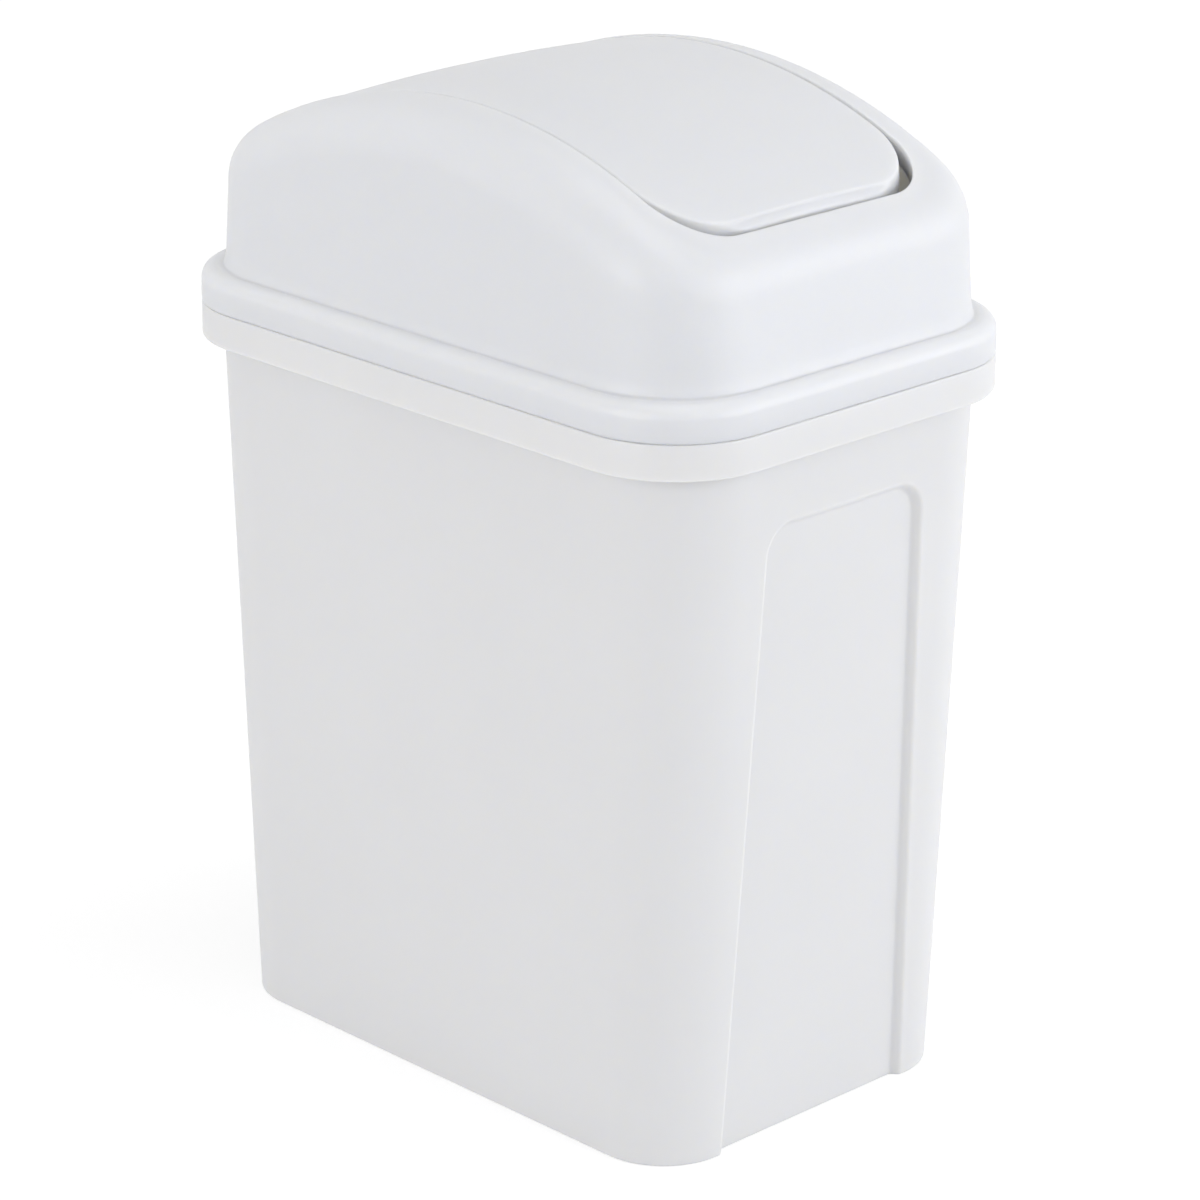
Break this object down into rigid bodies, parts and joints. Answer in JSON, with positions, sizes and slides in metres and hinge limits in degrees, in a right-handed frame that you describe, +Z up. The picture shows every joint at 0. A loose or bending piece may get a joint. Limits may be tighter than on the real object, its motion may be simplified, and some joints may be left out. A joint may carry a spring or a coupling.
{
  "type": "countertop trash can with swing lid",
  "caption": "Small tapered rectangular waste bin with a rolled rim, a lift-off domed hood and a flap that swings both ways.",
  "frame": {"origin": "middle of the base, on the table", "axes": "+Z up; X across the narrow faces, along the flap's pivot; Y along the broad faces, with the front narrow face towards -Y"},
  "size_m": [0.1386, 0.2, 0.277],
  "materials": {
    "body_plastic": "satin moulded white",
    "lid_plastic": "satin moulded white",
    "flap_plastic": "satin moulded white"
  },
  "bodies": {
    "bin": {"bin_body": "body_plastic"},
    "lid": {"lid_hood": "lid_plastic"},
    "flap": {"swing_flap": "flap_plastic"}
  },
  "joints": [
    {"name": "lid_lift", "type": "slide", "parent": "bin", "child": "lid", "axis": [0, 0, 1], "range_m": [0, 0.09]},
    {"name": "flap_swing", "type": "hinge", "parent": "lid", "child": "flap", "pos_m": [0, 0, 0.2695], "axis": [1, 0, 0], "range_deg": [-80, 80]}
  ]
}
